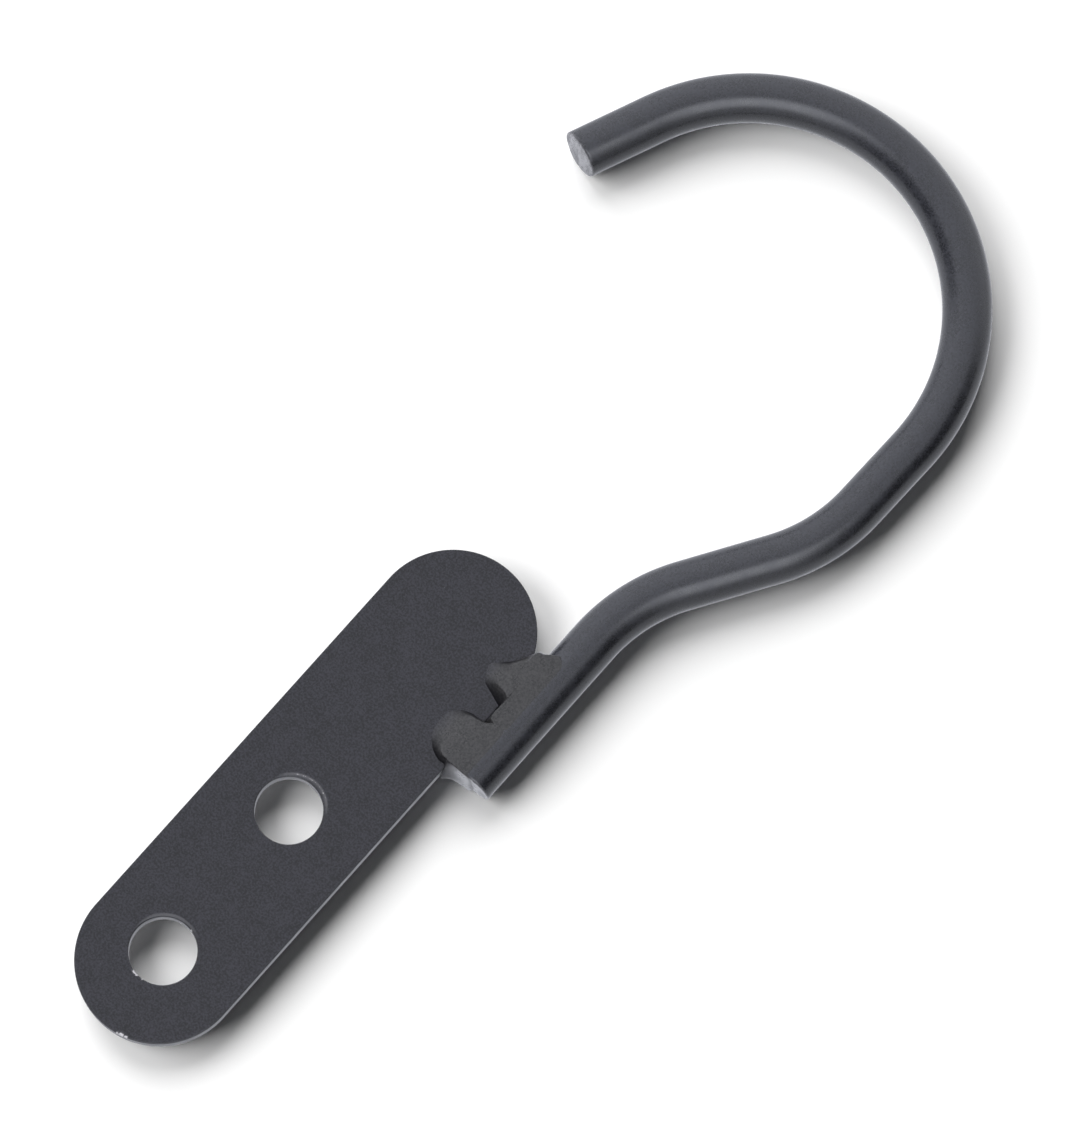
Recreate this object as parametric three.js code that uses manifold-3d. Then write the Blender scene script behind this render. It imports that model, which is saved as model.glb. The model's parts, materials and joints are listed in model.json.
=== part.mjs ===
// Welded hook bracket: a flat steel strap with two bolt holes, a bent round-bar
// hook, and the two weld beads that join them, all under one black powder coat.
//
// Millimetres, +Z up. The strap's back face is in the plane Z = 0, with the origin
// midway between its two bolt holes. +Y runs along the strap towards the hook. The
// hook bar is welded along the +X edge, centred on the strap's thickness, so it
// stands out behind the strap as well as in front.

import * as THREE from 'three';
import { mergeVertices } from 'three/addons/utils/BufferGeometryUtils.js';
import Module from 'manifold-3d';

// ---- driving dimensions (mm, degrees) ----

// Strap: flat bar with full-round ends.
const STRAP_WIDTH = 26.7;
const STRAP_LENGTH = 96;
const STRAP_THICKNESS = 3;
const STRAP_CENTRE_X = 0.5;        // the holes sit this far off the strap's own centreline
const STRAP_FOOT_Y = -29.5;        // round end furthest from the hook
const STRAP_EDGE_CHAMFER = 0.3;

// Bolt holes, one each side of the origin.
const HOLE_DIAMETER = 10.8;
const HOLE_SPACING = 29.6;

// Hook bar: its axis is level with the middle of the strap's edge.
const BAR_DIAMETER = 8;
const BAR_AXIS_X = 18.15;
const BAR_AXIS_Z = STRAP_THICKNESS / 2;
const BAR_START_Y = 37.2;

// Bending schedule, from the welded end to the tip: a straight run, then a bend
// (positive turns left, towards -X), and so on.
const WELDED_RUN = 29.8;
const NECK_BEND_RADIUS = 30;
const NECK_BEND_OUT = -32.2;
const NECK_RUN = 15.1;
const NECK_BEND_BACK = 31;
const SHANK_RUN = 12.4;
const HOOK_BEND_RADIUS = 34.65;
const HOOK_BEND = 158.6;
const TIP_RUN = 13.3;

// Weld beads: flattened domes that climb from the strap's face onto the bar.
const BEAD_CENTRE_X = 13.4;
const BEAD_CENTRE_Z = 3.1;
const BEAD_HALF_LENGTH = 6.3;      // across the joint, up the slope
const BEAD_HALF_THICKNESS = 1.7;
const BEAD_SLOPE = 12;
const LOWER_BEAD = { centreY: 41.3, halfWidth: 4.5 };
const UPPER_BEAD = { centreY: 54.8, halfWidth: 5.4 };
const BEAD_GAP = 0.3;              // clearance that the beads keep to the strap and the bar
const BEAD_CUT_SIZE = 25;          // size of the solids that trim a bead: larger than any bead

// ---- mesh fineness ----

const STRAP_END_SEGMENTS = 24;
const HOLE_SEGMENTS = 12;
const BAR_SIDES = 16;
const BAR_STEPS = 84;
const BEAD_AROUND = 24;
const BEAD_RINGS = 12;
const CLEARANCE_SIDES = 32;
const MERGE_TOLERANCE = 1e-5;

const barRadius = BAR_DIAMETER / 2;

// ---- solids ----

const wasm = await Module();
wasm.setup();

// A closed manifold-3d solid from a three.js geometry.
function solidFrom(geometry) {
  const bare = geometry.clone();
  bare.deleteAttribute('normal');
  bare.deleteAttribute('uv');
  const merged = mergeVertices(bare, MERGE_TOLERANCE);
  return new wasm.Manifold(new wasm.Mesh({
    numProp: 3,
    vertProperties: new Float32Array(merged.attributes.position.array),
    triVerts: new Uint32Array(merged.index.array),
  }));
}

// The three.js geometry of a manifold-3d solid.
function geometryFrom(solid) {
  const mesh = solid.getMesh();
  const geometry = new THREE.BufferGeometry();
  geometry.setAttribute('position', new THREE.BufferAttribute(mesh.vertProperties, 3));
  geometry.setIndex(new THREE.BufferAttribute(mesh.triVerts, 1));
  geometry.computeVertexNormals();
  return geometry;
}

// ---- the bar's centreline ----

// A circular bend in the XY plane, from a start point and heading.
class BendCurve extends THREE.Curve {
  constructor(start, heading, radius, angle) {
    super();
    this.start = start;
    this.heading = heading;
    this.radius = radius;
    this.angle = angle;
  }

  getPoint(t, target = new THREE.Vector3()) {
    const side = Math.sign(this.angle) * this.radius;
    const turned = this.heading + this.angle * t;
    return target.set(
      this.start.x + side * (Math.sin(turned) - Math.sin(this.heading)),
      this.start.y - side * (Math.cos(turned) - Math.cos(this.heading)),
      this.start.z,
    );
  }
}

// Follows the bending schedule from the bar's welded end to its tip.
function barCentreline() {
  const path = new THREE.CurvePath();
  let end = new THREE.Vector3(BAR_AXIS_X, BAR_START_Y, BAR_AXIS_Z);
  let heading = Math.PI / 2;

  const addRun = (length) => {
    const next = end.clone();
    next.x += length * Math.cos(heading);
    next.y += length * Math.sin(heading);
    path.add(new THREE.LineCurve3(end, next));
    end = next;
  };
  const addBend = (radius, degrees) => {
    const bend = new BendCurve(end, heading, radius, THREE.MathUtils.degToRad(degrees));
    path.add(bend);
    end = bend.getPoint(1);
    heading += bend.angle;
  };

  addRun(WELDED_RUN);
  addBend(NECK_BEND_RADIUS, NECK_BEND_OUT);
  addRun(NECK_RUN);
  addBend(NECK_BEND_RADIUS, NECK_BEND_BACK);
  addRun(SHANK_RUN);
  addBend(HOOK_BEND_RADIUS, HOOK_BEND);
  addRun(TIP_RUN);
  return path;
}

// ---- sub-parts ----

// Flat strap with full-round ends, two bolt holes and lightly chamfered edges.
function strapGeometry() {
  const endRadius = STRAP_WIDTH / 2;
  const lowerCentreY = STRAP_FOOT_Y + endRadius;
  const upperCentreY = STRAP_FOOT_Y + STRAP_LENGTH - endRadius;

  const outline = new THREE.Shape();
  outline.absarc(STRAP_CENTRE_X, upperCentreY, endRadius, 0, Math.PI);
  outline.absarc(STRAP_CENTRE_X, lowerCentreY, endRadius, Math.PI, 2 * Math.PI);
  outline.closePath();
  const rim = new THREE.Shape(outline.extractPoints(STRAP_END_SEGMENTS).shape);

  for (const side of [-1, 1]) {
    const circle = new THREE.Path();
    circle.absarc(0, side * HOLE_SPACING / 2, HOLE_DIAMETER / 2, 0, 2 * Math.PI);
    rim.holes.push(new THREE.Path(circle.getPoints(2 * HOLE_SEGMENTS)));
  }

  const geometry = new THREE.ExtrudeGeometry(rim, {
    depth: STRAP_THICKNESS - 2 * STRAP_EDGE_CHAMFER,
    bevelEnabled: true,
    bevelThickness: STRAP_EDGE_CHAMFER,
    bevelSize: STRAP_EDGE_CHAMFER,
    bevelOffset: -STRAP_EDGE_CHAMFER,
    bevelSegments: 1,
  });
  geometry.translate(0, 0, STRAP_EDGE_CHAMFER);
  return geometry;
}

// Round bar swept along the bending schedule.
function barGeometry() {
  const section = new THREE.Shape();
  section.absarc(0, 0, barRadius, 0, 2 * Math.PI);
  return new THREE.ExtrudeGeometry(section, {
    extrudePath: barCentreline(),
    steps: BAR_STEPS,
    curveSegments: BAR_SIDES / 2,
  });
}

// One weld bead: a tilted, flattened dome, cut clear of the strap and the bar.
function beadGeometry({ centreY, halfWidth }) {
  const dome = new THREE.SphereGeometry(1, BEAD_AROUND, BEAD_RINGS);
  dome.scale(BEAD_HALF_LENGTH, halfWidth, BEAD_HALF_THICKNESS);
  dome.rotateY(-THREE.MathUtils.degToRad(BEAD_SLOPE));
  dome.translate(BEAD_CENTRE_X, centreY, BEAD_CENTRE_Z);

  // Everything up to just above the strap's face, as far across as the bar.
  const top = STRAP_THICKNESS + BEAD_GAP;
  const belowFace = new THREE.BoxGeometry(BEAD_CUT_SIZE, BEAD_CUT_SIZE, BEAD_CUT_SIZE);
  belowFace.translate(BEAD_CENTRE_X, centreY, top - BEAD_CUT_SIZE / 2);

  // The straight, welded stretch of the bar, with its clearance.
  const clearRadius = barRadius + BEAD_GAP;
  const barClearance = new THREE.CylinderGeometry(clearRadius, clearRadius, BEAD_CUT_SIZE, CLEARANCE_SIDES);
  barClearance.translate(BAR_AXIS_X, centreY, BAR_AXIS_Z);

  const bead = solidFrom(dome)
    .subtract(solidFrom(belowFace))
    .subtract(solidFrom(barClearance));
  return geometryFrom(bead);
}

// ---- assembly ----

const strapCoat = new THREE.MeshStandardMaterial({ color: 0x4a4b50, roughness: 0.62, metalness: 0.0 });
const barCoat = new THREE.MeshStandardMaterial({ color: 0x53555b, roughness: 0.45, metalness: 0.0 });
const beadCoat = new THREE.MeshStandardMaterial({ color: 0x555455, roughness: 0.5, metalness: 0.0 });

function named(name, geometry, material) {
  const mesh = new THREE.Mesh(geometry, material);
  mesh.name = name;
  return mesh;
}

const bracket = new THREE.Group();
bracket.add(named('mounting_strap', strapGeometry(), strapCoat));
bracket.add(named('hook_bar', barGeometry(), barCoat));
bracket.add(named('lower_weld_bead', beadGeometry(LOWER_BEAD), beadCoat));
bracket.add(named('upper_weld_bead', beadGeometry(UPPER_BEAD), beadCoat));

export default bracket;
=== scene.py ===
"""Looks for the welded hook bracket: a flat strap, a bent round-bar hook and two
weld beads, all under one satin black powder coat, lying on a white table.

Metres, in the CAD frame: the strap's back is in the plane Z = 0, +Y runs along the
strap towards the hook, and the bar is welded on the +X side, centred on the strap's
thickness, so that it holds the strap clear of the table.
"""

import functools
import json
import math

import bpy
import numpy as np
from mathutils import Matrix, Vector, noise
from mathutils.geometry import delaunay_2d_cdt


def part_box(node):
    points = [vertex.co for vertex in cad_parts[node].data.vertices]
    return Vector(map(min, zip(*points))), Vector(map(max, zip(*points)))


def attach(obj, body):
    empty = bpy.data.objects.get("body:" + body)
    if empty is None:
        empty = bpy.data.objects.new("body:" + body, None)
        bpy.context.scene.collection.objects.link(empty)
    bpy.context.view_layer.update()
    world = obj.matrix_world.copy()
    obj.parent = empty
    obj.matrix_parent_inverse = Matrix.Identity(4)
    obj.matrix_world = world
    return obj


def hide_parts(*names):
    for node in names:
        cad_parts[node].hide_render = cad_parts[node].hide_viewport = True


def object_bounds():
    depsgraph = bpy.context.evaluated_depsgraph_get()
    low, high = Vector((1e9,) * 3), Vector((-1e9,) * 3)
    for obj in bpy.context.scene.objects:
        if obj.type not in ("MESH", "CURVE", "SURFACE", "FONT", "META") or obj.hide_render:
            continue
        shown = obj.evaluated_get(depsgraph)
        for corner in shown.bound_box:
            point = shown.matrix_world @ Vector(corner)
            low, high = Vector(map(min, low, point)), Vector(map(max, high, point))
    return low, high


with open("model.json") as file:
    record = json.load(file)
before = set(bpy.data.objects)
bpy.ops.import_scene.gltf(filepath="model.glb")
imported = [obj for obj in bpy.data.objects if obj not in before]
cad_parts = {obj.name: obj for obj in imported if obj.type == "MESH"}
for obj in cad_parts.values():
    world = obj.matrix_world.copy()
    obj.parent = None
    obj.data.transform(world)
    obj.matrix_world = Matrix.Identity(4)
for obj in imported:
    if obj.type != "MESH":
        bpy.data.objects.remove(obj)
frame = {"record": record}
cad_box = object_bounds()

MM = 0.001

# ---- sizes that the frame gives ----

strap_low, strap_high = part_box("mounting_strap")
bar_low, bar_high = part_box("hook_bar")
openings = {o["name"]: o["box_m"] for o in frame["record"]["physics"]["openings"]}

STRAP_CENTRE_X = (strap_low.x + strap_high.x) / 2
STRAP_HALF_WIDTH = (strap_high.x - strap_low.x) / 2
STRAP_TOP = strap_high.z
STRAP_END_CENTRES_Y = (strap_low.y + STRAP_HALF_WIDTH, strap_high.y - STRAP_HALF_WIDTH)
HOLE_CENTRES = [
    tuple((low + high) / 2 for low, high in zip(*openings[name]))[:2]
    for name in ("lower_bolt_hole", "upper_bolt_hole")
]
BAR_RADIUS = (bar_high.z - bar_low.z) / 2
BAR_START_Y = bar_low.y
BAR_AXIS_Z = (bar_low.z + bar_high.z) / 2

# ---- sizes of the CAD model's own making ----

HOLE_RADIUS = 5.4 * MM
BAR_AXIS_X = 18.15 * MM
# The bar's bending schedule: straight run, bend in degrees (positive turns left), bend radius.
BENDS = (
    (29.8 * MM, -32.2, 30 * MM),
    (15.1 * MM, 31.0, 30 * MM),
    (12.4 * MM, 158.6, 34.65 * MM),
    (13.3 * MM, 0.0, 0.0),
)


# ---- mesh helpers ----

def smooth_step(low, high, value):
    """0 below low, 1 above high, and a smooth ramp between. Takes numbers or arrays."""
    t = np.clip((np.asarray(value, float) - low) / (high - low), 0.0, 1.0)
    return t * t * (3 - 2 * t)


def ripple(points, wavelength, seed=0.0):
    """Smooth noise between about -1 and 1 at each point, the same on every run."""
    shift = Vector((seed * 17.3, seed * 5.7, seed * 11.1))
    return np.array([noise.noise(Vector(p) / wavelength + shift) for p in points])


def stitch(rings):
    """Quads between neighbouring closed rings, given as rows of vertex indices.

    They face up where the rings run anticlockwise and each is outside the one before.
    """
    faces = []
    for row, following in zip(rings, rings[1:]):
        count = len(row)
        for i in range(count):
            j = (i + 1) % count
            faces.append((row[j], row[i], following[i], following[j]))
    return faces


class Builder:
    """Collects vertices, faces and one value per vertex for each attribute."""

    def __init__(self):
        self.points = []
        self.faces = []
        self.values = {"wear": [], "grime": [], "cut": [], "toe": []}

    def add(self, points, **values):
        """Adds points and returns their indices. Attributes not named are 0."""
        start = len(self.points)
        self.points.extend(tuple(p) for p in points)
        for name, stored in self.values.items():
            value = values.get(name, 0.0)
            stored.extend(np.broadcast_to(value, len(points)).tolist())
        return list(range(start, len(self.points)))

    def fan(self, ring, centre, flip=False):
        """Closes a ring onto one centre vertex."""
        for a, b in zip(ring, ring[1:] + ring[:1]):
            self.faces.append((b, a, centre) if flip else (a, b, centre))

    def piece(self, name, material, slot, *nodes):
        """The finished, smooth shaded Blender object, riding on the part's one body."""
        mesh = bpy.data.meshes.new(name)
        mesh.from_pydata(self.points, [], self.faces)
        mesh.validate()
        for attribute, stored in self.values.items():
            layer = mesh.attributes.new(attribute, "FLOAT", "POINT")
            layer.data.foreach_set("value", stored)
        mesh.shade_smooth()
        mesh.materials.append(material)
        mesh.update()
        obj = bpy.data.objects.new(name, mesh)
        bpy.context.scene.collection.objects.link(obj)
        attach(obj, "root")
        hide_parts(*nodes)
        return obj


# ---- materials ----

class Nodes:
    """Short names for making and joining shader nodes."""

    def __init__(self, tree):
        self.tree = tree
        tree.nodes.clear()

    def new(self, kind, **settings):
        node = self.tree.nodes.new(kind)
        for key, value in settings.items():
            setattr(node, key, value)
        return node

    def join(self, source, target):
        self.tree.links.new(source, target)

    def value(self, target, source):
        """Sets a socket to a number, or joins another socket to it."""
        if isinstance(source, (int, float, tuple)):
            target.default_value = source
        else:
            self.join(source, target)

    def math(self, operation, a, b=0.0, clamp=False):
        node = self.new("ShaderNodeMath", operation=operation, use_clamp=clamp)
        self.value(node.inputs[0], a)
        self.value(node.inputs[1], b)
        return node.outputs[0]

    def noise(self, vector, size, detail=2.0, roughness=0.5):
        """Noise from 0 to 1 whose blotches are about the given size."""
        node = self.new("ShaderNodeTexNoise")
        node.inputs["Scale"].default_value = 1 / size
        node.inputs["Detail"].default_value = detail
        node.inputs["Roughness"].default_value = roughness
        self.join(vector, node.inputs["Vector"])
        return node.outputs["Fac"]

    def ramp(self, source, from_low, from_high, to_low=0.0, to_high=1.0):
        """A smooth ramp from one range to another, flat outside it."""
        node = self.new("ShaderNodeMapRange", interpolation_type="SMOOTHSTEP")
        self.value(node.inputs["Value"], source)
        limits = {"From Min": from_low, "From Max": from_high, "To Min": to_low, "To Max": to_high}
        for name, number in limits.items():
            node.inputs[name].default_value = number
        return node.outputs["Result"]

    def mix(self, factor, a, b):
        node = self.new("ShaderNodeMix", data_type="RGBA")
        self.value(node.inputs["Factor"], factor)
        self.value(node.inputs["A"], a)
        self.value(node.inputs["B"], b)
        return node.outputs["Result"]

    def attribute(self, name):
        return self.new("ShaderNodeAttribute", attribute_name=name).outputs["Fac"]


def colour(red, green, blue):
    return (red, green, blue, 1.0)


# The strap's own coat, which the beads' coat runs out into.
STRAP_BASE = (0.0112, 0.0110, 0.0138)
STRAP_MOTTLE = 0.70

DUST = colour(0.16, 0.16, 0.17)
# Near-black colour painted into creases as shade.
CREASE_SHADE = colour(0.003, 0.003, 0.004)
# Pale coat for rubbed chips and edges; on edges and punch steps it also paints a highlight.
RUBBED_COAT_AND_HIGHLIGHT = colour(0.13, 0.13, 0.14)
BARE_STEEL = colour(0.42, 0.41, 0.42)
# Colours of the sheared ends; on the upper bead's bridging wall they paint a highlight.
SHEARED_DARK = colour(0.062, 0.062, 0.070)
SHEARED_PALE = colour(0.170, 0.170, 0.186)

BLOTCH_SIZE = 2.2 * MM
GRAIN_SIZE = 0.34 * MM
GRAIN_SHARE = 0.8                  # of the mottle, with the rest from the blotches
MOTTLE_RANGE = (0.36, 0.64)
SPECKLE_SIZE = 0.3 * MM
SPECKLE_RANGE = (0.77, 0.84)
DUST_STRENGTH = 0.35
CREASE_SHADE_STRENGTH = 0.9
RUB_AND_HIGHLIGHT_STRENGTH = 0.8
RAGGEDNESS = 1.1                   # how much the grain breaks up the edge of a chip
BARE_RANGE = (0.62, 0.78)
BARE_METALLIC = 0.55
BARE_DEPTH = 0.8                   # how deep a chip is, in units of the orange peel
SHEAR_MARK_SIZE = 0.9 * MM
SHEAR_MARK_SQUASH = 0.22           # along Z, so below 1 draws the marks out that way
SHEAR_MARK_RANGE = (0.35, 0.65)
BLOTCH_SHINE = 0.035               # roughness that the blotches and the grain add or take away
GRAIN_SHINE = 0.03
SHINE_RANGE = (0.3, 0.7)
CREASE_ROUGHNESS = 0.4
CREASE_SPECULAR_LOSS = 0.46
PEEL_SIZE = 0.55 * MM
FINE_PEEL_SIZE = 0.16 * MM
FINE_PEEL_SHARE = 0.22


def powder_coat(name, base, ior, roughness, peel_depth, mottle):
    """Satin black powder coat: mottled, with orange peel, fine grain, lightened edges and bare
    chips; the edges are partly rubbed coat and partly painted highlight.

    It reads the attributes for wear and painted highlight (1 where the coat is chipped or rubbed
    away, and where edges and punch steps get a painted highlight), for crease shade (1 in creases,
    where shade is painted), for cut faces (1 on sheared end faces, and on the upper bead's
    bridging wall, where the sheared colour paints a highlight) and toe (1 where it runs out into
    the strap's coat).
    """
    material = bpy.data.materials.new(name)
    material.use_nodes = True
    n = Nodes(material.node_tree)
    place = n.new("ShaderNodeTexCoord").outputs["Object"]

    blotches = n.noise(place, BLOTCH_SIZE, detail=3.0, roughness=0.6)
    grain = n.noise(place, GRAIN_SIZE, detail=2.0, roughness=0.65)
    speckle = n.noise(place, SPECKLE_SIZE, detail=1.0)
    wear = n.attribute("wear")
    grime = n.attribute("grime")
    cut = n.attribute("cut")

    tone = n.math("ADD", n.math("MULTIPLY", blotches, 1 - GRAIN_SHARE),
                  n.math("MULTIPLY", grain, GRAIN_SHARE))
    tone = n.ramp(tone, *MOTTLE_RANGE)

    def mottled(middle, spread):
        dark, light = (colour(*(c * k for c in middle)) for k in (1 - spread, 1 + spread))
        return n.mix(tone, dark, light)

    coat = n.mix(n.attribute("toe"), mottled(base, mottle), mottled(STRAP_BASE, STRAP_MOTTLE))
    dust = n.math("MULTIPLY", n.ramp(speckle, *SPECKLE_RANGE), DUST_STRENGTH)
    coat = n.mix(dust, coat, DUST)
    # Painted shade: creases are darkened towards a near-black colour.
    coat = n.mix(n.math("MULTIPLY", grime, CREASE_SHADE_STRENGTH), coat, CREASE_SHADE)
    # Rubbed coat at chips and edges, plus painted highlight on edges and punch steps, lightens the
    # coat.
    coat = n.mix(n.math("MULTIPLY", wear, RUB_AND_HIGHLIGHT_STRENGTH, clamp=True), coat, RUBBED_COAT_AND_HIGHLIGHT)

    # Bare steel shows where the wear and highlight value, roughened by noise, is high.
    ragged = n.math("MULTIPLY", n.math("SUBTRACT", grain, 0.5), RAGGEDNESS)
    bare = n.ramp(n.math("ADD", wear, ragged), *BARE_RANGE)
    base_colour = n.mix(bare, coat, BARE_STEEL)

    # Shear marks run down the cut ends, through the thin coat there.
    stretch = n.new("ShaderNodeMapping")
    stretch.inputs["Scale"].default_value = (1.0, 1.0, SHEAR_MARK_SQUASH)
    n.join(place, stretch.inputs["Vector"])
    marks = n.noise(stretch.outputs["Vector"], SHEAR_MARK_SIZE, detail=3.0, roughness=0.6)
    sheared_and_highlight = n.mix(n.ramp(marks, *SHEAR_MARK_RANGE), SHEARED_DARK, SHEARED_PALE)
    # The sheared colour also paints a highlight on the upper bead's wall where it bridges strap
    # and bar.
    base_colour = n.mix(cut, base_colour, sheared_and_highlight)

    glossy, matt = roughness - BLOTCH_SHINE, roughness + BLOTCH_SHINE
    shine = n.math("ADD", n.ramp(blotches, *SHINE_RANGE, glossy, matt),
                   n.ramp(grain, *SHINE_RANGE, -GRAIN_SHINE, GRAIN_SHINE))
    # In creases the painted shade also roughens the coat and lowers its specular level.
    shine = n.math("ADD", shine, n.math("MULTIPLY", grime, CREASE_ROUGHNESS), clamp=True)
    specular = n.math("SUBTRACT", 0.5, n.math("MULTIPLY", grime, CREASE_SPECULAR_LOSS))

    peel = n.noise(place, PEEL_SIZE, detail=2.5, roughness=0.55)
    fine = n.noise(place, FINE_PEEL_SIZE, detail=1.5)
    height = n.math("ADD", peel, n.math("MULTIPLY", fine, FINE_PEEL_SHARE))
    height = n.math("SUBTRACT", height, n.math("MULTIPLY", bare, BARE_DEPTH))
    bump = n.new("ShaderNodeBump")
    bump.inputs["Strength"].default_value = 1.0
    bump.inputs["Distance"].default_value = peel_depth
    n.join(height, bump.inputs["Height"])

    surface = n.new("ShaderNodeBsdfPrincipled")
    surface.inputs["IOR"].default_value = ior
    n.join(base_colour, surface.inputs["Base Color"])
    n.join(shine, surface.inputs["Roughness"])
    n.join(n.math("MULTIPLY", bare, BARE_METALLIC), surface.inputs["Metallic"])
    n.join(specular, surface.inputs["Specular IOR Level"])
    n.join(bump.outputs["Normal"], surface.inputs["Normal"])
    output = n.new("ShaderNodeOutputMaterial")
    n.join(surface.outputs["BSDF"], output.inputs["Surface"])
    return material


strap_coat = powder_coat(
    "strap_coat", STRAP_BASE,
    ior=1.42, roughness=0.42, peel_depth=0.015 * MM, mottle=STRAP_MOTTLE,
)
bar_coat = powder_coat(
    "bar_coat", (0.0165, 0.0172, 0.0215),
    ior=1.5, roughness=0.29, peel_depth=0.006 * MM, mottle=0.35,
)
weld_coat = powder_coat(
    "weld_coat", (0.0150, 0.0146, 0.0152),
    ior=1.48, roughness=0.31, peel_depth=0.008 * MM, mottle=0.60,
)


# ---- strap ----

OUTLINE_SPACING = 0.25 * MM
HOLE_SIDES = 180
EDGE_FLAT = 1.8 * MM               # inset of the last ring round every edge
ROLL_WIDTH = 0.22 * MM             # rounding that the punch leaves on the front edges
ROLL_DEPTH = 0.18 * MM
ROLL_STEPS = 6
FLAT_RING_SPACING = 0.1 * MM       # from the last ring to the rounding
BACK_CHAMFER = 0.12 * MM
SHEAR_TAPER = 0.03 * MM            # how far the punched walls draw in towards the back
GRID = 2.0 * MM
EDGE_RUB_AND_HIGHLIGHT = 0.42                    # how far an edge is lightened, partly as rubbed coat, partly as painted highlight
WALL_HEIGHTS = (0.62 * STRAP_TOP, 0.3 * STRAP_TOP)
WALL_RUB_AND_HIGHLIGHT = (0.25, 0.2)             # the same at those heights, partly rubbed coat, partly painted highlight

# A shallow step that the punch pressed into the front beside each hole: how far its
# circle lies off the hole's centre, in which direction (degrees), and its depth.
PUNCH_STEPS = ((0.30 * MM, 110.0, 0.14 * MM), (0.58 * MM, 80.0, 0.16 * MM))
PUNCH_STEP_SLOPE = 0.44 * MM
PUNCH_STEP_WOBBLE = 0.06 * MM
PUNCH_STEP_WOBBLE_LENGTH = 1.5 * MM
PUNCH_STEP_FAR_SIDE = 0.3          # share of the depth on the side away from that direction
# How much each punch step is lightened, as a painted highlight.
PUNCH_STEP_HIGHLIGHT = 0.61
PUNCH_STEP_LEAN = 12.0             # degrees that the painted highlight sits past the step's direction
PUNCH_STEP_FADE = 65.0             # degrees each side of there over which it fades

# Chips in the coat on a front rim: the angle (degrees) round the rim's centre, and the size.
LOWER_RIM_CHIPS = ((285.0, 0.50 * MM), (288.5, 0.34 * MM), (282.0, 0.24 * MM))
LOWER_HOLE_CHIPS = ((258.0, 0.42 * MM), (264.0, 0.30 * MM), (276.0, 0.22 * MM), (77.0, 0.22 * MM))
CHIP_DROP = 0.5                    # below 1 lets a chip reach further down a wall than along it


def strap_outline(inset):
    """Points round the strap, anticlockwise, moved in by inset."""
    radius = STRAP_HALF_WIDTH
    low_y, high_y = STRAP_END_CENTRES_Y
    arc_steps = round(math.pi * radius / OUTLINE_SPACING)
    run_steps = round((high_y - low_y) / OUTLINE_SPACING)
    anchors, angles = [], []
    for i in range(arc_steps):
        anchors.append((STRAP_CENTRE_X, high_y))
        angles.append(math.pi * i / arc_steps)
    for i in range(run_steps):
        anchors.append((STRAP_CENTRE_X, high_y + (low_y - high_y) * i / run_steps))
        angles.append(math.pi)
    for i in range(arc_steps):
        anchors.append((STRAP_CENTRE_X, low_y))
        angles.append(math.pi + math.pi * i / arc_steps)
    for i in range(run_steps):
        anchors.append((STRAP_CENTRE_X, low_y + (high_y - low_y) * i / run_steps))
        angles.append(2 * math.pi)
    angles = np.array(angles)
    normals = np.stack((np.cos(angles), np.sin(angles)), axis=1)
    return np.array(anchors) + normals * (radius - inset)


def hole_outline(centre, inset):
    """Points round a hole, clockwise, moved out into the metal by inset."""
    angles = -np.linspace(0, 2 * math.pi, HOLE_SIDES, endpoint=False)
    normals = np.stack((np.cos(angles), np.sin(angles)), axis=1)
    return np.array(centre) + normals * (HOLE_RADIUS + inset)


def edge_profile():
    """(inset, height, rub and painted highlight) from the front face, over the edge and down to
    the back face.
    """
    insets = np.arange(EDGE_FLAT, 2 * ROLL_WIDTH, -FLAT_RING_SPACING)
    rows = [(inset, STRAP_TOP, 0.0) for inset in insets]
    for i in range(ROLL_STEPS + 1):
        turn = math.pi / 2 * i / ROLL_STEPS
        inset = ROLL_WIDTH * (1 - math.sin(turn))
        height = STRAP_TOP - ROLL_DEPTH * (1 - math.cos(turn))
        rows.append((inset, height, EDGE_RUB_AND_HIGHLIGHT * i / ROLL_STEPS))
    rows.append((0.0, WALL_HEIGHTS[0], WALL_RUB_AND_HIGHLIGHT[0]))
    rows.append((SHEAR_TAPER, WALL_HEIGHTS[1], WALL_RUB_AND_HIGHLIGHT[1]))
    rows.append((SHEAR_TAPER, BACK_CHAMFER, WALL_RUB_AND_HIGHLIGHT[1]))
    rows.append((BACK_CHAMFER, 0.0, 0.0))
    rows.append((2 * BACK_CHAMFER, 0.0, 0.0))
    rows.append((EDGE_FLAT, 0.0, 0.0))
    return rows


def polar(centre, radius, degrees):
    """The point at a radius and angle from a centre."""
    angle = math.radians(degrees)
    return np.array(centre) + radius * np.array((math.cos(angle), math.sin(angle)))


def chip_wear(plan, height, centre, radius, chips):
    """1 inside the chips on a front rim, falling to 0 just outside and just below them."""
    wear = np.zeros(len(plan))
    drop = CHIP_DROP * (STRAP_TOP - height)
    for degrees, size in chips:
        distance = np.hypot(np.linalg.norm(plan - polar(centre, radius, degrees), axis=1), drop)
        wear = np.maximum(wear, 1 - smooth_step(0.6 * size, 1.4 * size, distance))
    return wear


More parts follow.
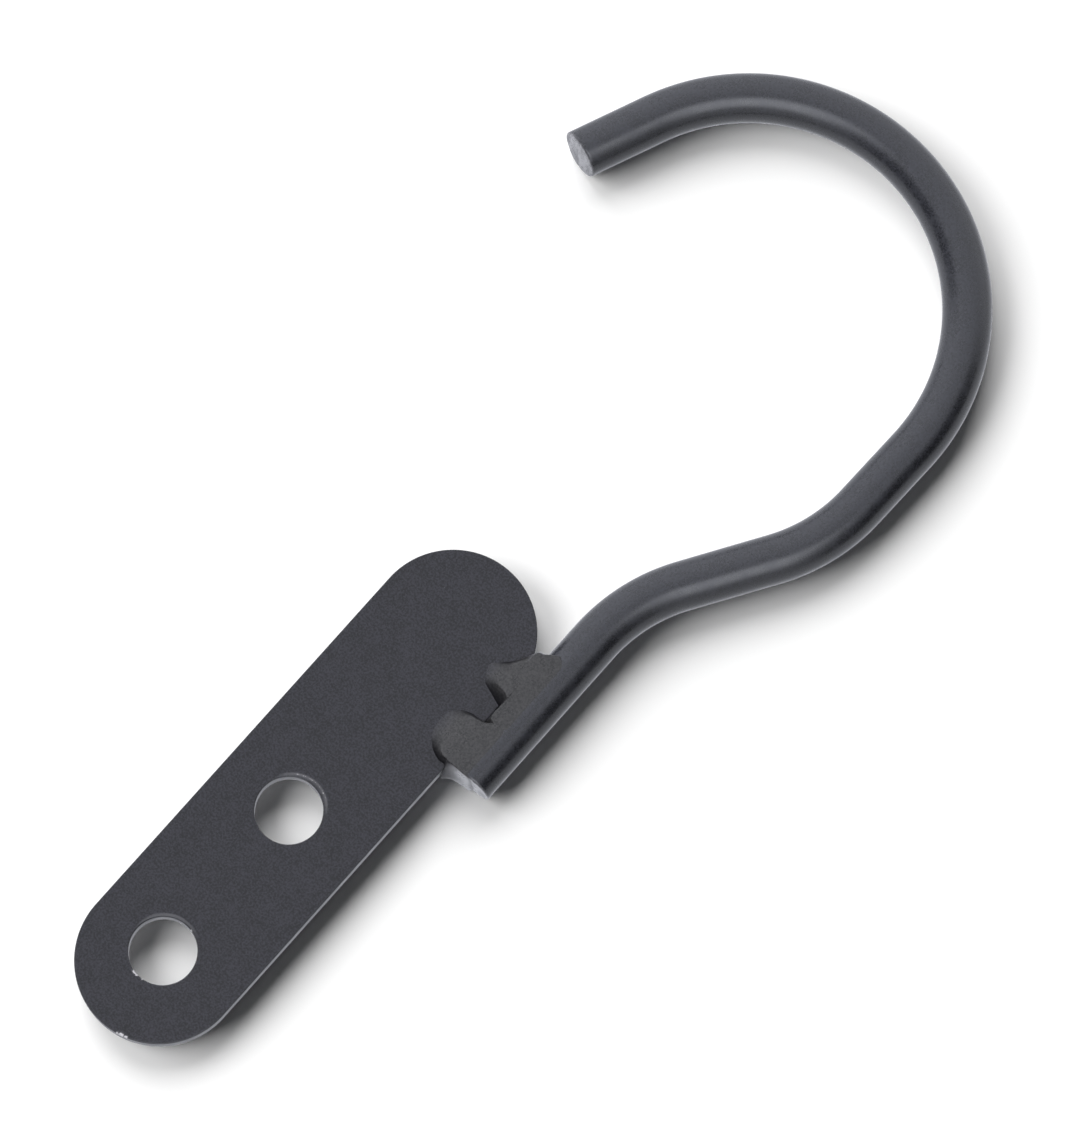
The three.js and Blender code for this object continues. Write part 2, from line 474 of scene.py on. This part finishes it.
def punch_step(plan, centre, step):
    """How far the front face beside a hole is pressed down, and how much painted highlight
    lightens the step.
    """
    offset, degrees, depth = step
    distance = np.linalg.norm(plan - polar(centre, offset, degrees), axis=1)
    flat = np.column_stack((plan, np.zeros(len(plan))))
    wobble = PUNCH_STEP_WOBBLE * ripple(flat, PUNCH_STEP_WOBBLE_LENGTH, seed=4)
    past = distance - HOLE_RADIUS - wobble
    half = PUNCH_STEP_SLOPE / 2

    spoke = plan - np.array(centre)
    turned = np.degrees(np.arctan2(spoke[:, 1], spoke[:, 0])) - degrees - PUNCH_STEP_LEAN
    turned = np.abs((turned + 180) % 360 - 180)
    facing = 1 - smooth_step(0.5 * PUNCH_STEP_FADE, PUNCH_STEP_FADE, turned)

    share = PUNCH_STEP_FAR_SIDE + (1 - PUNCH_STEP_FAR_SIDE) * facing
    drop = depth * share * (1 - smooth_step(-half, half, past))
    # A painted highlight along the step, strongest in its direction.
    rub_and_highlight = facing * (1 - smooth_step(0.0, 1.6 * half, np.abs(past - 0.4 * half)))
    return drop, PUNCH_STEP_HIGHLIGHT * rub_and_highlight


def build_strap():
    strap = Builder()
    # Outline, then the centre and radius of its chipped arc, its chips and its punch step.
    rim_centre = (STRAP_CENTRE_X, STRAP_END_CENTRES_Y[0])
    loops = [(strap_outline, rim_centre, STRAP_HALF_WIDTH, LOWER_RIM_CHIPS, None)]
    for centre, chips, step in zip(HOLE_CENTRES, (LOWER_HOLE_CHIPS, ()), PUNCH_STEPS):
        outline = functools.partial(hole_outline, centre)
        loops.append((outline, centre, HOLE_RADIUS, chips, step))
    front_rings, back_rings = [], []
    for outline, centre, radius, chips, step in loops:
        rings = []
        for inset, height, rub_and_highlight in edge_profile():
            plan = outline(inset)
            heights = np.full(len(plan), height)
            # Real chips, plus rubbed coat and painted highlight along the edges.
            wear = np.maximum(rub_and_highlight, chip_wear(plan, height, centre, radius, chips))
            if step and height > STRAP_TOP / 2:
                drop, step_highlight = punch_step(plan, centre, step)
                heights -= drop
                wear = np.maximum(wear, step_highlight)
            rings.append(strap.add(np.column_stack((plan, heights)), wear=wear))
        strap.faces.extend(stitch(rings))
        front_rings.append(rings[0])
        back_rings.append(rings[-1])

    # One triangulation of the flat between the edge rings serves both faces.
    front = [i for ring in front_rings for i in ring]
    back = [i for ring in back_rings for i in ring]
    plan = [Vector(strap.points[i][:2]) for i in front]
    x_values = np.arange(-STRAP_HALF_WIDTH, STRAP_HALF_WIDTH, GRID) + STRAP_CENTRE_X + GRID / 2
    y_values = np.arange(strap_low.y, strap_high.y, GRID) + GRID / 2
    for row, y in enumerate(y_values):
        for x in x_values + (row % 2) * GRID / 2:
            if clear_of_edges(x, y, EDGE_FLAT + GRID / 3):
                plan.append(Vector((x, y)))
                front.extend(strap.add([(x, y, STRAP_TOP)]))
                back.extend(strap.add([(x, y, 0.0)]))
    _, _, triangles, origins, _, _ = delaunay_2d_cdt(plan, [], [], 0, 1e-9)
    for triangle in triangles:
        a, b, c = (origins[v][0] for v in triangle)
        middle = (plan[a] + plan[b] + plan[c]) / 3
        from_holes = [(middle - Vector(centre)).length for centre in HOLE_CENTRES]
        if min(from_holes) > HOLE_RADIUS + EDGE_FLAT:
            strap.faces.append((front[a], front[b], front[c]))
            strap.faces.append((back[c], back[b], back[a]))
    return strap.piece("strap", strap_coat, "strap_coat", "mounting_strap")


def clear_of_edges(x, y, margin):
    """Whether a point on the strap's face is at least margin from its rim and its holes."""
    low_y, high_y = STRAP_END_CENTRES_Y
    nearest_y = min(max(y, low_y), high_y)
    if math.hypot(x - STRAP_CENTRE_X, y - nearest_y) > STRAP_HALF_WIDTH - margin:
        return False
    return all(math.hypot(x - cx, y - cy) > HOLE_RADIUS + margin for cx, cy in HOLE_CENTRES)


# ---- bar ----

BAR_SIDES = 64
RING_SPACING = 0.6 * MM
END_ROLL = 0.35 * MM               # rounding of the sheared ends' rims
END_ROLL_STEPS = 6
END_FACE_RINGS = 14
END_FACE_CORE = 0.01               # the innermost ring's share of the face
WELD_END_PROUD = 0.25 * MM         # how far the welded end stands past the CAD bar's
WELD_END_LEAN = (0.0, 0.02)        # slope of the cut over the bar's own left and up
TIP_LEAN = (-0.09, -0.14)
SKEW_REACH = 7 * MM                # how far along the bar a skewed cut is evened out
# Roughness of a cut: its depth and the length of its lumps, fine and coarse.
CUT_GRAIN = (0.05 * MM, 0.5 * MM)
CUT_GRAIN_SQUASH = 0.35            # below 1 draws the fine lumps out, up and down
CUT_WAVE = (0.10 * MM, 2.3 * MM)


def bar_centreline():
    """Distances along the bar, and the point and heading (radians) at each."""
    x, y, heading, travelled = BAR_AXIS_X, BAR_START_Y, math.pi / 2, 0.0
    rows = [(0.0, x, y, heading)]
    for run, degrees, radius in BENDS:
        steps = max(1, round(run / RING_SPACING))
        for i in range(1, steps + 1):
            s = run * i / steps
            there = (x + s * math.cos(heading), y + s * math.sin(heading))
            rows.append((travelled + s, *there, heading))
        travelled, x, y, heading = rows[-1]
        if not degrees:
            continue
        turn = math.radians(degrees)
        side = math.copysign(radius, turn)
        steps = max(1, round(abs(turn) * radius / RING_SPACING))
        centre_x, centre_y = x - side * math.sin(heading), y + side * math.cos(heading)
        for i in range(1, steps + 1):
            turned = heading + turn * i / steps
            rows.append((
                travelled + abs(turn) * radius * i / steps,
                centre_x + side * math.sin(turned),
                centre_y - side * math.cos(turned),
                turned,
            ))
        travelled, x, y, heading = rows[-1]
    return np.array(rows)


def cut_skew(across, up, lean, seed):
    """How far a sheared face stands past a square one, over its own across and up."""
    points = np.column_stack((across, up, np.zeros(len(across))))
    grain_depth, grain_length = CUT_GRAIN
    wave_depth, wave_length = CUT_WAVE
    rough = grain_depth * ripple(points * (1.0, CUT_GRAIN_SQUASH, 1.0), grain_length, seed)
    rough += wave_depth * ripple(points, wave_length, seed + 1)
    return lean[0] * across + lean[1] * up + rough


def build_bar():
    bar = Builder()
    rows = bar_centreline()
    length = rows[-1][0]
    around = np.linspace(0, 2 * math.pi, BAR_SIDES, endpoint=False)

    def ring(distance, x, y, heading, radius, along=0.0, **values):
        """One section, moved past its place by along."""
        forward = np.array((math.cos(heading), math.sin(heading), 0.0))
        left = np.array((-math.sin(heading), math.cos(heading), 0.0))
        across, up = radius * np.cos(around), radius * np.sin(around)
        start_weight = max(0.0, 1 - distance / SKEW_REACH)
        end_weight = max(0.0, 1 - (length - distance) / SKEW_REACH)
        skew = np.zeros(BAR_SIDES)
        if start_weight:
            skew += start_weight * (cut_skew(across, up, WELD_END_LEAN, seed=3) - WELD_END_PROUD)
        if end_weight:
            skew += end_weight * cut_skew(across, up, TIP_LEAN, seed=8)
        centre = np.array((x, y, BAR_AXIS_Z))
        points = centre + np.outer(across, left) + np.outer(up, (0, 0, 1))
        points += np.outer(along + skew, forward)
        points[:, 2] = np.clip(points[:, 2], bar_low.z, bar_high.z)
        return bar.add(points, **values)

    def end(row, sign):
        """The rounded rim and the face of one sheared end, from the rim inwards."""
        rings = []
        for i in range(1, END_ROLL_STEPS + 1):
            turn = math.pi / 2 * i / END_ROLL_STEPS
            radius = BAR_RADIUS - END_ROLL * (1 - math.cos(turn))
            along = sign * END_ROLL * (math.sin(turn) - 1)
            rings.append(ring(*row, radius, along, cut=i / END_ROLL_STEPS))
        face_radius = BAR_RADIUS - END_ROLL
        for i in range(1, END_FACE_RINGS):
            rings.append(ring(*row, face_radius * (1 - i / END_FACE_RINGS), cut=1.0))
        rings.append(ring(*row, face_radius * END_FACE_CORE, cut=1.0))
        return rings

    body = [ring(*row, BAR_RADIUS) for row in rows if END_ROLL < row[0] < length - END_ROLL]
    first = ring(*rows[0], BAR_RADIUS, END_ROLL)
    last = ring(*rows[-1], BAR_RADIUS, -END_ROLL)
    start_rings = end(rows[0], -1)
    end_rings = end(rows[-1], 1)
    sections = start_rings[::-1] + [first] + body + [last] + end_rings
    # Stitched from the tip back, so that the quads face outwards.
    bar.faces.extend(stitch(sections[::-1]))
    bar.faces.append(tuple(reversed(sections[0])))
    bar.faces.append(tuple(sections[-1]))
    return bar.piece("bar", bar_coat, "bar_coat", "hook_bar")


# ---- weld beads ----

ROOF_SLOPE = math.radians(15)      # how steeply the beads climb onto the bar
ROOF_BULGE = 0.35 * MM             # and how much they are crowned over this run
ROOF_RUN = 9 * MM
ROOF_LIFT = 0.02 * MM              # holds the roof just clear of the bar
ROOF_RIPPLE = 0.07 * MM
ROOF_RIPPLE_LENGTH = 2.6 * MM
ROOF_RIPPLE_REACH = 3 * MM         # from the bar to where the ripples are full
SINK_START = 17.3 * MM             # past here a bead's roof dips into the bar
SINK_REACH = 1.5 * MM
SINK_DEPTH = 0.25 * MM
BEAD_AROUND = 360
BEAD_ROOF_RINGS = 60
TOE_RINGS = 14
LEAST_TURN_IN = 0.05 * MM
# A bead's foot runs out softly where its x is below the first, and not at all past the
# second, evened out over this many vertices each way.
SOFT_FOOT_X = (10.0 * MM, 11.4 * MM)
SOFT_EVENING = 18
EMBED = 0.35 * MM                  # how deep the beads are buried past their feet
EMBED_DRAW_IN = 0.04               # share of the way to their centres that they draw in there
EMBED_FLOOR = 0.05 * MM            # least height above the back of the bar


def roof_height(x, y, seed):
    """Height of a bead's top: a ramp that leaves the bar at a tangent, a little crowned."""
    tangent_x = BAR_AXIS_X - BAR_RADIUS * math.sin(ROOF_SLOPE)
    tangent_z = BAR_AXIS_Z + BAR_RADIUS * math.cos(ROOF_SLOPE)
    run = np.clip(tangent_x - x, 0.0, None)
    ramp = tangent_z - run * math.tan(ROOF_SLOPE)
    crown = ROOF_BULGE * np.sin(math.pi * np.clip(run / ROOF_RUN, 0, 1))
    bar_x = np.clip(x - BAR_AXIS_X, -BAR_RADIUS, BAR_RADIUS)
    bar_top = BAR_AXIS_Z + np.sqrt(BAR_RADIUS ** 2 - bar_x ** 2)
    height = np.where(x > tangent_x, bar_top, ramp + crown) + ROOF_LIFT
    height -= SINK_DEPTH * smooth_step(SINK_START, SINK_START + SINK_REACH, x)
    points = np.column_stack((x, y, np.zeros(len(x))))
    ripples = ROOF_RIPPLE * ripple(points, ROOF_RIPPLE_LENGTH, seed)
    return height + ripples * smooth_step(0, ROOF_RIPPLE_REACH, run)


def closed_curve(points, count):
    """A smooth closed curve through the points (Catmull-Rom), evenly divided between them."""
    points = np.array(points, float)
    parts = []
    per_part = count // len(points)
    for i in range(len(points)):
        p0, p1, p2, p3 = (points[(i + k) % len(points)] for k in (-1, 0, 1, 2))
        t = np.linspace(0, 1, per_part, endpoint=False).reshape(-1, 1)
        parts.append(0.5 * (
            2 * p1 + (p2 - p0) * t + (2 * p0 - 5 * p1 + 4 * p2 - p3) * t ** 2
            + (3 * p1 - p0 - 3 * p2 + p3) * t ** 3
        ))
    return np.concatenate(parts)


def evened(values, reach):
    """Values round a closed curve, averaged over their neighbours up to reach away."""
    weights = np.hanning(2 * reach + 3)[1:-1]
    padded = np.concatenate((values[-reach:], values, values[:reach]))
    return np.convolve(padded, weights / weights.sum(), mode="valid")


def build_bead(name, node, centre, controls, seed):
    """A bead from its rim and its foot.

    Each control is the rim's x, y, the foot's x, y, z, and how far in from the rim the roof starts
    to turn down, in millimetres, then how dark its crease is with painted shade and how much of
    its wall takes the sheared colour, which on the upper bead's bridging end paints a highlight.
    The controls run anticlockwise, and centre is in millimetres too.
    """
    bead = Builder()
    curve = closed_curve(controls, BEAD_AROUND)
    crease = np.clip(curve[:, 6], 0.0, 1.0)
    sheared_and_highlight = np.clip(curve[:, 7], 0.0, 1.0)
    curve = curve * MM
    rim, foot = curve[:, 0:2], curve[:, 2:5]
    turn_in = np.maximum(curve[:, 5:6], LEAST_TURN_IN)
    soft = evened((1 - crease) * (1 - smooth_step(*SOFT_FOOT_X, foot[:, 0])), SOFT_EVENING)
    centre = np.array(centre) * MM
    spokes = rim - centre
    reach = np.linalg.norm(spokes, axis=1, keepdims=True)
    shoulder = centre + spokes * (1 - turn_in / reach)

    def roofed(plan):
        return np.column_stack((plan, roof_height(plan[:, 0], plan[:, 1], seed)))

    rings = []
    for i in range(1, BEAD_ROOF_RINGS + 1):
        plan = centre + (shoulder - centre) * (i / BEAD_ROOF_RINGS)
        rings.append(bead.add(roofed(plan)))

    # The side runs out from the roof and down to the foot, where a soft one ends level.
    start, corner = roofed(shoulder), roofed(rim)
    leaving = start + (corner - start) * 2 / 3
    landing = foot + (corner - foot) * 2 / 3
    landing[:, 2] -= soft * (landing[:, 2] - foot[:, 2])
    for i in range(1, TOE_RINGS + 1):
        t = i / TOE_RINGS
        points = (1 - t) ** 3 * start + 3 * t * (1 - t) ** 2 * leaving
        points += 3 * t ** 2 * (1 - t) * landing + t ** 3 * foot
        cut = sheared_and_highlight * smooth_step(0.0, 0.25, t)
        toe = soft * smooth_step(0.3, 1.0, t)
        # Painted shade darkens a crease, more towards the foot.
        rings.append(bead.add(points, grime=crease * t, cut=cut, toe=toe))

    buried = foot.copy()
    buried[:, :2] += (centre - foot[:, :2]) * EMBED_DRAW_IN
    buried[:, 2] = np.maximum(buried[:, 2] - EMBED, bar_low.z + EMBED_FLOOR)
    # The buried ring keeps the crease's full painted shade.
    rings.append(bead.add(buried, grime=crease))
    bead.faces.extend(stitch(rings))
    top = bead.add(roofed(centre.reshape(1, 2)))[0]
    bead.fan(rings[0], top)
    bottom = bead.add([(*centre, float(buried[:, 2].mean()))])[0]
    bead.fan(rings[-1], bottom, flip=True)
    return bead.piece(name, weld_coat, "weld_coat", node)


# rim x, y, foot x, y, z, turn-in, crease (painted shade), cut (sheared colour; a painted highlight
# on the upper bead's bridging end)
UPPER_BEAD = (
    (10.12, 53.29, 8.20, 53.30, 2.99, 2.6, 0, 0),
    (10.12, 52.09, 8.80, 51.60, 2.99, 2.2, 0, 0),
    (10.41, 51.31, 9.70, 50.40, 2.97, 1.2, 0.6, 0),
    (11.76, 51.06, 11.60, 49.70, 2.95, 0.5, 0.9, 0),
    (13.11, 50.82, 13.30, 49.10, 2.95, 0.4, 1, 0),
    (14.26, 50.27, 13.90, 48.80, 2.85, 0.3, 1, 0),
    (14.26, 48.87, 13.80, 48.30, 2.85, 0.3, 0.9, 0),
    (14.17, 47.27, 13.75, 46.90, 2.85, 0.3, 0.9, 0),
    (14.65, 46.09, 14.20, 45.20, 2.85, 0.3, 0.9, 0),
    (17.06, 45.79, 17.05, 45.60, 2.50, 0.4, 0, 0),
    (18.15, 47.90, 18.45, 47.90, 3.50, 0.4, 0, 0),
    (18.25, 53.40, 18.55, 53.40, 3.50, 0.4, 0, 0),
    (18.00, 59.20, 18.30, 59.20, 3.50, 0.4, 0, 0),
    (16.40, 61.05, 16.40, 61.35, 2.50, 0.3, 0.9, 0),
    # The cut values on this row and the next two paint a highlight on the wall where the bead
    # bridges strap and bar.
    (15.03, 60.65, 15.30, 60.60, 2.00, 0.3, 0.5, 0.3),
    (13.97, 60.06, 14.00, 60.20, 1.00, 0.5, 0, 1),
    (12.82, 59.51, 12.80, 59.80, 2.00, 0.5, 0, 1),
    (12.14, 57.78, 11.90, 57.90, 2.97, 1.2, 0, 0),
    (10.89, 55.73, 10.80, 56.00, 2.95, 0.5, 1, 0),
    (9.83, 54.18, 9.20, 54.40, 2.95, 1.8, 0.5, 0),
)
LOWER_BEAD = (
    (9.93, 41.48, 8.10, 41.40, 2.99, 3.2, 0, 0),
    (9.83, 39.68, 8.60, 39.10, 2.99, 2.4, 0, 0),
    (10.80, 37.85, 10.30, 37.15, 2.97, 0.8, 0.8, 0),
    (12.35, 37.00, 12.30, 36.30, 2.92, 0.3, 1, 0),
    (13.35, 36.85, 13.50, 36.35, 2.85, 0.3, 1, 0),
    (13.70, 36.82, 13.95, 35.65, 2.20, 0.2, 1, 0.1),
    (14.05, 36.82, 14.05, 34.66, 0.05, 0.2, 0.6, 0.2),
    (15.00, 36.80, 15.10, 35.55, -0.50, 0.2, 0.35, 0.4),
    (16.10, 36.78, 16.15, 36.05, -1.50, 0.2, 0.1, 0.8),
    (17.25, 36.78, 17.40, 36.32, -2.20, 0.2, 0, 1),
    (18.35, 36.92, 18.85, 36.60, -1.90, 0.2, 0, 1),
    (18.65, 38.00, 19.05, 37.90, 0.50, 0.2, 0, 1),
    (18.35, 40.00, 18.65, 40.00, 3.50, 0.4, 0, 0),
    (18.25, 42.40, 18.55, 42.40, 3.50, 0.4, 0, 0),
    (18.15, 45.20, 18.45, 45.20, 3.50, 0.4, 0, 0),
    (17.06, 46.79, 17.05, 47.20, 2.50, 0.4, 0, 0),
    (15.32, 46.32, 15.40, 46.50, 3.00, 0.4, 0, 0),
    (14.26, 45.57, 14.00, 45.80, 2.80, 0.4, 0.9, 0),
    (12.72, 45.20, 12.90, 45.50, 2.95, 0.4, 1, 0),
    (11.28, 44.94, 11.20, 45.30, 2.95, 0.5, 1, 0),
    (10.22, 44.10, 9.60, 44.60, 2.97, 1.2, 0.5, 0),
    (10.02, 42.89, 8.40, 43.10, 2.99, 2.8, 0, 0),
)


# ---- stage ----

FLOOR_HALF = 1.5
FLOOR_DROP = 0.02 * MM
FLOOR_COLOUR = colour(0.9, 0.9, 0.9)


def build_floor():
    mesh = bpy.data.meshes.new("table")
    corners = [(-1, -1), (1, -1), (1, 1), (-1, 1)]
    height = cad_box[0][2] - FLOOR_DROP
    points = [(x * FLOOR_HALF, y * FLOOR_HALF, height) for x, y in corners]
    mesh.from_pydata(points, [], [(0, 1, 2, 3)])
    material = bpy.data.materials.new("table_white")
    material.use_nodes = True
    n = Nodes(material.node_tree)
    surface = n.new("ShaderNodeBsdfDiffuse")
    surface.inputs["Color"].default_value = FLOOR_COLOUR
    output = n.new("ShaderNodeOutputMaterial")
    n.join(surface.outputs["BSDF"], output.inputs["Surface"])
    mesh.materials.append(material)
    table = bpy.data.objects.new("table", mesh)
    bpy.context.scene.collection.objects.link(table)
    table.visible_glossy = False


VIEW_AZIMUTH = math.radians(41.22)
VIEW_ELEVATION = math.radians(78.0)
VIEW_DISTANCE = 1.1048
AIM_OFFSET = Vector((4.22 * MM, 3.14 * MM, 2.5 * MM))  # from the middle of the CAD box
LENS = 221.8                       # millimetres, as Blender counts lenses and sensors
SENSOR = 36.0

# Ground directions as the camera sees them.
RIGHT = Vector((math.cos(VIEW_AZIMUTH), math.sin(VIEW_AZIMUTH), 0.0))
AWAY = Vector((-math.sin(VIEW_AZIMUTH), math.cos(VIEW_AZIMUTH), 0.0))


def build_camera():
    low, high = (Vector(corner) for corner in cad_box)
    aim = (low + high) / 2 + AIM_OFFSET
    back = -AWAY * math.cos(VIEW_ELEVATION) + Vector((0, 0, math.sin(VIEW_ELEVATION)))
    up = back.cross(RIGHT)
    turn = Matrix((RIGHT, up, back)).transposed()
    data = bpy.data.cameras.new("camera")
    data.lens = LENS
    data.sensor_width = SENSOR
    data.clip_end = 20.0
    camera = bpy.data.objects.new("camera", data)
    camera.matrix_world = Matrix.Translation(aim + back * VIEW_DISTANCE) @ turn.to_4x4()
    bpy.context.scene.collection.objects.link(camera)
    bpy.context.scene.camera = camera


# Soft suns: turn from the picture's left towards its top, elevation and size in degrees, strength.
KEYS = {
    "key_left": (2, 34, 58, 3.7),
    "key_top": (77, 36, 54, 3.5),
}


def build_key_lights():
    """Low soft suns from the left and the top, which throw the shadows right and down."""
    for name, (turn, elevation, size, strength) in KEYS.items():
        turn, elevation = math.radians(turn), math.radians(elevation)
        toward = (AWAY * math.sin(turn) - RIGHT * math.cos(turn)) * math.cos(elevation)
        toward += Vector((0, 0, math.sin(elevation)))
        data = bpy.data.lights.new(name, "SUN")
        data.angle = math.radians(size)
        data.energy = strength
        light = bpy.data.objects.new(name, data)
        light.rotation_euler = toward.to_track_quat("Z", "Y").to_euler()
        light.visible_glossy = False
        bpy.context.scene.collection.objects.link(light)


# The studio that reflections see. Pairs are where a smooth ramp starts and ends, in the
# direction's part to the right, away from the camera, towards it or up.
FAR_GLOW = 1.55
NEAR_GLOW = 1.1
CEILING_AWAY = (-0.15, 0.35)
OPENING_DARKNESS = 0.93
OPENING_ASIDE = (0.38, 0.78)
OPENING_AWAY = (0.22, -0.02)
OPENING_SKEW = 0.12                # lets the left opening reach further back than the right one
OPENING_UP = (0.82, 0.62)
BOX_GLOW = 3.6
BOX_NEAR_START = (0.14, 0.40)
BOX_NEAR_END = (0.90, 0.68)
BOX_ASIDE = (0.50, 0.26)
TABLE_GLOW = 1.15
HORIZON_UP = (0.02, -0.06)
AMBIENT = 0.05
WHITE = colour(1, 1, 1)
REFLECTION_TINT = colour(0.96, 0.985, 1.06)


def build_world():
    """White to look at, dim for soft fill, and a studio of panels for reflections."""
    world = bpy.data.worlds.new("studio")
    world.use_nodes = True
    bpy.context.scene.world = world
    world.cycles.sampling_method = "NONE"
    n = Nodes(world.node_tree)
    direction = n.new("ShaderNodeTexCoord").outputs["Generated"]

    def towards(axis):
        dot = n.new("ShaderNodeVectorMath", operation="DOT_PRODUCT")
        n.join(direction, dot.inputs[0])
        dot.inputs[1].default_value = axis
        return dot.outputs["Value"]

    right, away, up = towards(RIGHT), towards(AWAY), towards(Vector((0, 0, 1)))
    near = n.math("MULTIPLY", away, -1.0)

    # A pale ceiling, a little dimmer on the camera's side.
    glow = n.ramp(away, *CEILING_AWAY, NEAR_GLOW, FAR_GLOW)
    # Dark openings on both sides, on the camera's side and below the ceiling.
    sideways = n.math("ABSOLUTE", right)
    skewed = n.math("ADD", away, n.math("MULTIPLY", right, OPENING_SKEW))
    dark = n.math("MULTIPLY", n.ramp(sideways, *OPENING_ASIDE), n.ramp(skewed, *OPENING_AWAY))
    dark = n.math("MULTIPLY", dark, n.ramp(up, *OPENING_UP))
    kept = n.math("SUBTRACT", 1.0, n.math("MULTIPLY", dark, OPENING_DARKNESS))
    glow = n.math("MULTIPLY", glow, kept)
    # A soft box overhead on the camera's side.
    box = n.math("MULTIPLY", n.ramp(near, *BOX_NEAR_START), n.ramp(near, *BOX_NEAR_END))
    box = n.math("MULTIPLY", box, n.ramp(sideways, *BOX_ASIDE))
    glow = n.math("ADD", glow, n.math("MULTIPLY", box, BOX_GLOW))
    # The table, below the horizon.
    table = n.ramp(up, *HORIZON_UP)
    glow = n.math("ADD", n.math("MULTIPLY", glow, n.math("SUBTRACT", 1.0, table)),
                  n.math("MULTIPLY", table, TABLE_GLOW))

    rays = n.new("ShaderNodeLightPath")
    strength = n.math("ADD", n.math("MULTIPLY", rays.outputs["Is Glossy Ray"], glow),
                      n.math("MULTIPLY", rays.outputs["Is Diffuse Ray"], AMBIENT))
    strength = n.math("ADD", strength, rays.outputs["Is Camera Ray"])
    tint = n.mix(rays.outputs["Is Glossy Ray"], WHITE, REFLECTION_TINT)
    background = n.new("ShaderNodeBackground")
    n.join(tint, background.inputs["Color"])
    n.join(strength, background.inputs["Strength"])
    output = n.new("ShaderNodeOutputWorld")
    n.join(background.outputs[0], output.inputs["Surface"])


build_strap()
build_bar()
build_bead("lower_bead", "lower_weld_bead", (13.2, 41.3), LOWER_BEAD, seed=1)
build_bead("upper_bead", "upper_weld_bead", (14.2, 54.3), UPPER_BEAD, seed=2)
build_floor()
build_camera()
build_key_lights()
build_world()
bpy.context.scene.view_settings.view_transform = "Standard"
